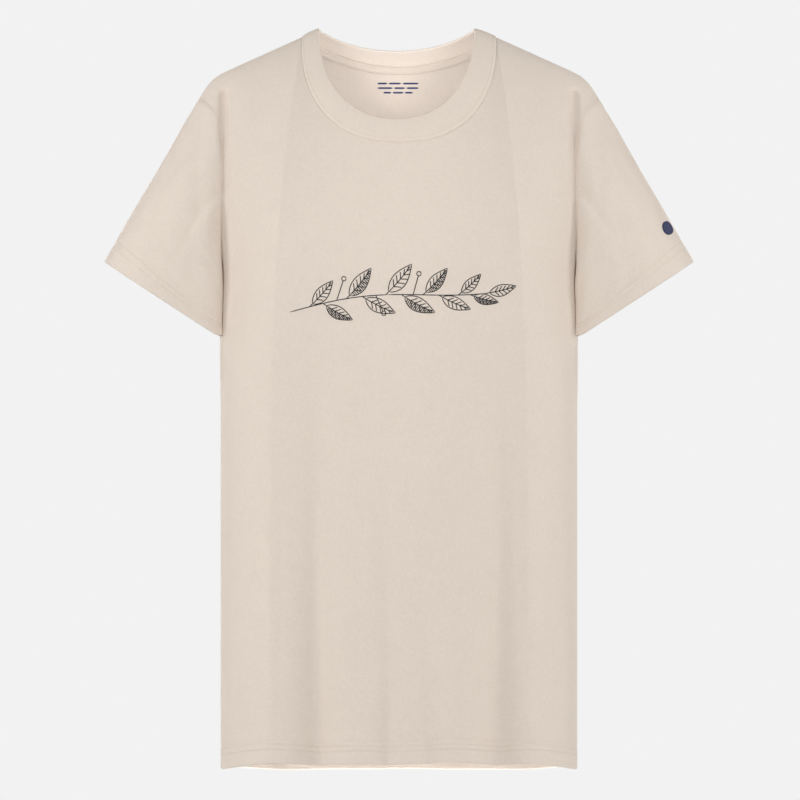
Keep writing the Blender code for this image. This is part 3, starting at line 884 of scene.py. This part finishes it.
def make_patch():
    """The embroidered oval near the wearer's left sleeve hem.

    A disc of rings and spokes is laid on the sleeve: across it the turn changes, along it the
    way down. It stands up in a low dome, and a corded rim, a half round, runs round its edge.
    """
    swing = np.linspace(0.0, 2.0 * np.pi, 97)[:-1]
    ways = np.concatenate([np.linspace(0.0, 0.8, 9), np.linspace(0.84, 1.0, 7)])
    ways[0] = 0.02
    spin, way = np.meshgrid(swing, ways, indexing="ij")
    turn = PATCH_AT[0] + 0.5 * PATCH_SIZE[0] * way * np.cos(spin)
    down = PATCH_AT[1] + 0.5 * PATCH_SIZE[1] * way * np.sin(spin)
    step = 0.01
    base = sleeve_point(turn, down)
    round_way = sleeve_point(turn + step, down) - sleeve_point(turn - step, down)
    down_way = sleeve_point(turn, down + step) - sleeve_point(turn, down - step)
    outward = unit(np.cross(round_way, down_way))
    if outward[0, 0, 0] < 0.0:
        outward = -outward
    rim = 0.0005 * np.sqrt(np.clip(1.0 - ((way - 0.9) / 0.1) ** 2, 0.0, 1.0))
    dome = 0.0011 + 0.0002 * (1.0 - way**2) + rim * smooth((way - 0.78) / 0.04)
    shown = base + outward * dome[..., None]
    piece = cloth_piece("sleeve_patch_cloth", shown, outward, dome + 0.0002, navy, closed=True)
    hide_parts("sleeve_patch")
    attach(piece, "root")
    return piece


def leaf_lines(root, heading, length, breadth, hatched):
    """Line drawing of one leaf: two bowed edges, a midrib, side veins, and hatching if wanted.

    In the leaf's own frame, s runs from the stalk (0) to the tip (1). The edges lie at plus and
    minus breadth times sin(pi s^0.8), so it is widest a little below its middle.
    """
    s = np.linspace(0.0, 1.0, LINE_POINTS)
    edge = breadth * np.sin(np.pi * s**0.8)
    bow = 0.10 * length * s**2
    lines = [
        np.stack([s * length, bow + edge], axis=-1),
        np.stack([s * length, bow - edge], axis=-1),
        np.stack([s * length * 0.93, 0.93**2 * bow], axis=-1),
    ]
    for at in np.linspace(0.2, 0.76, 5):
        for way in (1.0, -1.0):
            reach = breadth * np.sin(np.pi * (at + 0.12) ** 0.8) * 0.82
            x = (at + 0.14 * s) * length
            lines.append(np.stack([x, 0.10 * length * at**2 + way * reach * s**1.1], axis=-1))
    if hatched:
        for at in np.linspace(0.12, 0.90, 15):
            reach = breadth * np.sin(np.pi * at**0.8) * 0.92
            x = at * length + 0.0 * s
            lines.append(np.stack([x, 0.10 * length * at**2 - reach * s], axis=-1))
    drawn = np.stack(lines)
    turned = np.array([[np.cos(heading), np.sin(heading)], [-np.sin(heading), np.cos(heading)]])
    return drawn @ turned + np.array(root)


def sprig_lines():
    """A long leafy twig: a waved stem with leaves to both sides, a bud, and a few berries."""
    s = np.linspace(0.0, 1.0, LINE_POINTS)

    def stem(way):
        x = -0.106 + 0.190 * way
        return np.stack([x, -0.2765 + 0.024 * way + 0.006 * np.sin(4.6 * way)], axis=-1)

    lines = [stem(s * 0.5)[None], stem(0.5 + 0.5 * s)[None]]
    leaves = (
        (0.10, 0.75, 0.030, 0.0062, False), (0.17, -0.60, 0.029, 0.0060, True),
        (0.29, 0.80, 0.034, 0.0070, True), (0.37, -0.55, 0.032, 0.0066, False),
        (0.49, 0.78, 0.035, 0.0072, False), (0.57, -0.58, 0.033, 0.0068, True),
        (0.68, 0.74, 0.031, 0.0064, True), (0.76, -0.50, 0.030, 0.0060, False),
        (0.86, 0.66, 0.026, 0.0053, False), (0.92, -0.34, 0.025, 0.0050, True),
        (1.00, 0.16, 0.027, 0.0054, False),
    )
    for at, heading, length, breadth, hatched in leaves:
        root = stem(np.array(at))
        stalk_tip = root + 0.004 * np.array([np.cos(heading), np.sin(heading)])
        lines.append((root + (stalk_tip - root) * s[:, None])[None])
        lines.append(leaf_lines(stalk_tip, heading, length, breadth, hatched))
    for at, heading, length in ((0.24, 1.25, 0.020), (0.44, -1.15, 0.017), (0.63, 1.30, 0.019)):
        root = stem(np.array(at))
        tip = root + length * np.array([np.cos(heading), np.sin(heading)])
        lines.append((root + (tip - root) * s[:, None])[None])
        circle = 0.0021 * np.stack([np.cos(2.0 * np.pi * s), np.sin(2.0 * np.pi * s)], axis=-1)
        lines.append((tip + 0.0021 * unit(tip - root) + circle)[None])
    return np.concatenate(lines)


def ribbon_marks(name, lines, width, front, depth, material):
    """Ink on cloth: each drawn line becomes a flat ribbon, pressed a little into the surface.

    The section across a line has four corners. Half the width to each side, they lie just above
    the cloth and just below its face. Its ends narrow to a third of the width. depth is how far
    inside the panel's outer face the printed face lies, and the ink stands out from there.
    """
    facing = 1.0 if depth else -1.0
    s = np.linspace(0.0, 1.0, lines.shape[1])
    taper = 1.0 - 0.65 * np.exp(-((np.minimum(s, 1.0 - s) / 0.03) ** 2))
    along = np.gradient(lines, axis=1)
    aside = unit(np.stack([-along[..., 1], along[..., 0]], axis=-1))
    half = 0.5 * width * taper[None, :, None] * aside
    left, right = lines + half, lines - half
    corners = []
    for flat, lift in ((left, 0.00012), (right, 0.00012), (right, -0.0002), (left, -0.0002)):
        x, z = flat[..., 0], flat[..., 1]
        y = front_y(x, z) if front else back_y(x, z)
        outward = trunk_normal(x, z, front)
        base = np.stack([x, y, z], axis=-1)
        corners.append(base - outward * (depth + facing * lift))
    points = np.stack(corners, axis=2)
    count, steps = lines.shape[:2]
    number = np.arange(count * steps * 4).reshape(count, steps, 4)
    ring = np.concatenate([number, number[..., :1]], axis=2)
    walls = np.stack(
        [ring[:, :-1, :-1], ring[:, 1:, :-1], ring[:, 1:, 1:], ring[:, :-1, 1:]], axis=-1
    ).reshape(-1, 4)
    caps = np.concatenate([number[:, 0], number[:, -1, ::-1]])
    faces = np.concatenate([walls, caps])
    first = points.reshape(-1, 3)[faces[0]]
    if np.cross(first[1] - first[0], first[2] - first[1])[1] > 0.0:
        faces = faces[:, ::-1]
    piece = put_mesh(name, points.reshape(-1, 3), faces, [material], sharp=80.0)
    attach(piece, "root")
    return piece


def neck_bars():
    """Three rows of short plain bars, printed inside the back of the neck."""
    s = np.linspace(0.0, 1.0, 8)
    lines = []
    for z, cuts in (
        (-0.0390, (-0.0220, -0.0120, -0.0105, 0.0020, 0.0035, 0.0200)),
        (-0.0435, (-0.0220, -0.0065, -0.0050, 0.0060, 0.0075, 0.0200)),
        (-0.0480, (-0.0160, -0.0080, -0.0065, 0.0045, 0.0060, 0.0140)),
    ):
        for left, right in zip(cuts[0::2], cuts[1::2]):
            lines.append(np.stack([left + (right - left) * s, z + 0.0 * s], axis=-1))
    return np.stack(lines)


LINE_POINTS = 20
navy = thread("navy embroidery", (0.026, 0.034, 0.095))
ink = thread("black print ink", (0.022, 0.021, 0.022))
navy_ink = thread("navy print ink", (0.035, 0.042, 0.13))
patch_piece = make_patch()
chest_print = ribbon_marks("chest_print", sprig_lines(), 0.00095, True, 0.0, ink)
neck_print = ribbon_marks("neck_print", neck_bars(), 0.0017, False, JERSEY, navy_ink)


# Stage, light and camera

floor_mesh = bpy.data.meshes.new("floor")
swing = np.linspace(0.0, 2.0 * np.pi, 97)[:-1]
rim = np.stack([1.7 * np.cos(swing), 1.7 * np.sin(swing), np.full(96, -0.95)], axis=-1)
floor_mesh.from_pydata(rim.tolist(), [], [list(range(96))])
floor = bpy.data.objects.new("floor", floor_mesh)
bpy.context.scene.collection.objects.link(floor)
pale = bpy.data.materials.new("pale floor")
pale.use_nodes = True
pale.node_tree.nodes["Principled BSDF"].inputs["Base Color"].default_value = (0.72, 0.72, 0.72, 1.0)
pale.node_tree.nodes["Principled BSDF"].inputs["Roughness"].default_value = 0.9
floor_mesh.materials.append(pale)

world = bpy.data.worlds.new("studio")
world.use_nodes = True
sky = world.node_tree
# The backdrop is even. The light from it is strongest from the front and back, and from above.
way = sky.nodes.new("ShaderNodeTexCoord")
parts = sky.nodes.new("ShaderNodeSeparateXYZ")
sky.links.new(way.outputs["Generated"], parts.inputs[0])
facing = math(sky, "MULTIPLY", math(sky, "POWER", math(sky, "ABSOLUTE", parts.outputs[1]), 2.0), 0.12)
overhead = math(sky, "MULTIPLY", parts.outputs[2], 0.10)
lit = math(sky, "ADD", math(sky, "ADD", facing, overhead), 0.12)
seen = sky.nodes.new("ShaderNodeLightPath")
tone = sky.nodes.new("ShaderNodeMix")
tone.data_type = "FLOAT"
tone.inputs["B"].default_value = 0.888
sky.links.new(seen.outputs["Is Camera Ray"], tone.inputs["Factor"])
sky.links.new(lit, tone.inputs["A"])
sky.links.new(tone.outputs["Result"], sky.nodes["Background"].inputs["Color"])
bpy.context.scene.world = world


def soft_light(name, place, aim, size, watts, colour=(1.0, 1.0, 1.0)):
    """A soft rectangular lamp that looks at a point."""
    lamp = bpy.data.lights.new(name, "AREA")
    lamp.color = colour
    lamp.shape = "RECTANGLE"
    lamp.size, lamp.size_y = size
    lamp.energy = watts
    made = bpy.data.objects.new(name, lamp)
    bpy.context.scene.collection.objects.link(made)
    made.visible_camera = False
    toward = unit(np.array(aim) - np.array(place))
    side = unit(np.cross(toward, (0.0, 0.0, 1.0)))
    up = np.cross(side, toward)
    turned = np.eye(4)
    turned[:3, 0], turned[:3, 1], turned[:3, 2], turned[:3, 3] = side, up, -toward, place
    made.matrix_world = turned.T.tolist()
    return made


chest = (0.0, 0.0, -0.2)
for name, side, watts in (("left", -1.0, 1.04), ("right", 1.0, 0.96)):
    soft_light("front " + name, (0.95 * side, -2.0, 0.30), (0.0, 0.0, 0.0), (0.6, 0.6), 16.0 * watts)
    soft_light("low front " + name, (2.41 * side, -0.65, 0.5), chest, (0.8, 1.4), 23.0 * watts)
    soft_light("rear " + name, (0.95 * side, 2.0, 0.15), (0.0, 0.0, 0.0), (0.6, 0.6), 15.0)
    soft_light("low rear " + name, (2.41 * side, 0.65, 0.5), chest, (0.8, 1.4), 9.0)
soft_light("collar lamp", (0.0, -0.050, -0.075), (0.0, 0.08, -0.060), (0.06, 0.03), 0.095, (0.96, 1.0, 1.05))
soft_light("floor bounce", (0.0, 0.02, -0.90), (0.0, 0.03, -0.50), (0.34, 0.06), 0.73)

camera = bpy.data.objects.new("camera", bpy.data.cameras.new("camera"))
camera.data.lens = 180.0
camera.data.sensor_width = 36.0
camera.location = (0.001, -4.0, -0.362)
camera.rotation_euler = (0.5 * np.pi, 0.0, 0.0)
bpy.context.scene.collection.objects.link(camera)
bpy.context.scene.camera = camera
bpy.context.scene.view_settings.view_transform = "Standard"
